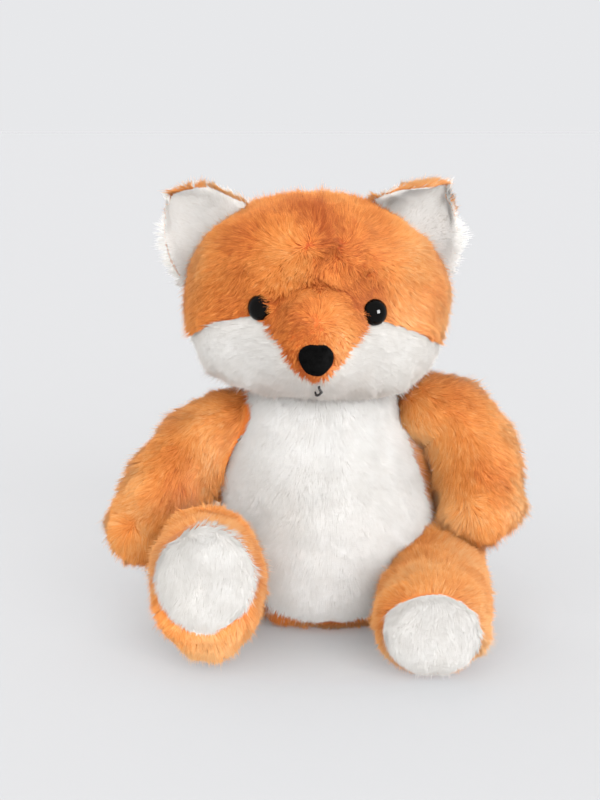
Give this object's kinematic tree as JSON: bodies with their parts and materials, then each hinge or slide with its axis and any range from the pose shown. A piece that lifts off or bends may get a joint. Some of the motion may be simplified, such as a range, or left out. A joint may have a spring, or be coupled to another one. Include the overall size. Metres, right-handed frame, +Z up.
{
  "type": "plush fox",
  "caption": "Sitting plush fox: orange and white panels sewn over stuffing, turning head, bending limbs, ears and tail, domed eyes and a flocked nose.",
  "frame": {"origin": "middle of the flat seat panel that the fox sits on", "axes": "+Z up, -Y the way the fox faces, +X towards the fox's own left side, which is the right side of the picture"},
  "size_m": [0.2064, 0.2208, 0.2208],
  "materials": {
    "orange_plush": "matte",
    "white_plush": "matte",
    "stuffing": "matte",
    "eye_black": "gloss",
    "nose_black": "matte",
    "washer_plastic": "satin",
    "black_thread": "matte",
    "label_satin": "satin"
  },
  "bodies": {
    "torso": {"back_left": "orange_plush", "back_right": "orange_plush", "belly_left": "white_plush", "belly_right": "white_plush", "body_stuffing": "stuffing", "care_label": "label_satin", "seat_panel": "orange_plush"},
    "neck": {"neck_gusset": "orange_plush"},
    "head": {"cheek_left": "white_plush", "cheek_right": "white_plush", "eye_left": "eye_black", "eye_left_washer": "washer_plastic", "eye_right": "eye_black", "eye_right_washer": "washer_plastic", "head_back": "orange_plush", "head_crown_left": "orange_plush", "head_crown_right": "orange_plush", "head_stuffing": "stuffing", "mouth_stitch": "black_thread", "muzzle_top": "orange_plush", "nose": "nose_black", "nose_washer": "washer_plastic"},
    "arm_left": {"arm_left_back": "orange_plush", "arm_left_front": "orange_plush", "arm_left_stuffing": "stuffing"},
    "arm_right": {"arm_right_back": "orange_plush", "arm_right_front": "orange_plush", "arm_right_stuffing": "stuffing"},
    "ear_left": {"ear_left_back": "orange_plush", "ear_left_lining": "white_plush"},
    "ear_right": {"ear_right_back": "orange_plush", "ear_right_lining": "white_plush"},
    "leg_left": {"leg_left_lower": "orange_plush", "leg_left_sole": "white_plush", "leg_left_stuffing": "stuffing", "leg_left_upper": "orange_plush"},
    "leg_right": {"leg_right_lower": "orange_plush", "leg_right_sole": "white_plush", "leg_right_stuffing": "stuffing", "leg_right_upper": "orange_plush"},
    "tail": {"tail_lower": "orange_plush", "tail_stuffing": "stuffing", "tail_tip": "white_plush", "tail_upper": "orange_plush"}
  },
  "joints": [
    {"name": "neck_turn", "type": "hinge", "parent": "torso", "child": "neck", "pos_m": [-0.00524, 0, 0.1], "axis": [0, 0, 1], "range_deg": [-20, 20], "stiffness_Nm_per_rad": 0.3},
    {"name": "neck_nod", "type": "hinge", "parent": "neck", "child": "head", "pos_m": [-0.00524, 0, 0.1], "axis": [1, 0, 0], "range_deg": [-6, 6], "stiffness_Nm_per_rad": 0.6},
    {"name": "arm_left_raise", "type": "hinge", "parent": "torso", "child": "arm_left", "pos_m": [-0.04048, -0.002, 0.09999], "axis": [0, 1, 0], "range_deg": [0, 22], "stiffness_Nm_per_rad": 0.12},
    {"name": "arm_right_raise", "type": "hinge", "parent": "torso", "child": "arm_right", "pos_m": [0.0485, -0.002, 0.1045], "axis": [0, -1, 0], "range_deg": [0, 35], "stiffness_Nm_per_rad": 0.12},
    {"name": "leg_left_splay", "type": "hinge", "parent": "torso", "child": "leg_left", "pos_m": [-0.05554, -0.01404, 0.0285], "axis": [0, 0, -1], "range_deg": [0, 12], "stiffness_Nm_per_rad": 0.15},
    {"name": "leg_right_splay", "type": "hinge", "parent": "torso", "child": "leg_right", "pos_m": [0.05256, -0.01404, 0.0285], "axis": [0, 0, 1], "range_deg": [0, 20], "stiffness_Nm_per_rad": 0.15},
    {"name": "tail_wag", "type": "hinge", "parent": "torso", "child": "tail", "pos_m": [-0.00157, 0.05316, 0.03], "axis": [0, 0, 1], "range_deg": [-20, 20], "stiffness_Nm_per_rad": 0.05},
    {"name": "ear_left_flop", "type": "hinge", "parent": "head", "child": "ear_left", "pos_m": [-0.05466, 0.006, 0.18496], "axis": [-0.6003, 0, -0.7998], "range_deg": [-8, 16], "stiffness_Nm_per_rad": 0.02},
    {"name": "ear_right_flop", "type": "hinge", "parent": "head", "child": "ear_right", "pos_m": [0.03679, 0.006, 0.18907], "axis": [0.7091, 0, -0.7051], "range_deg": [-16, 8], "stiffness_Nm_per_rad": 0.02}
  ]
}
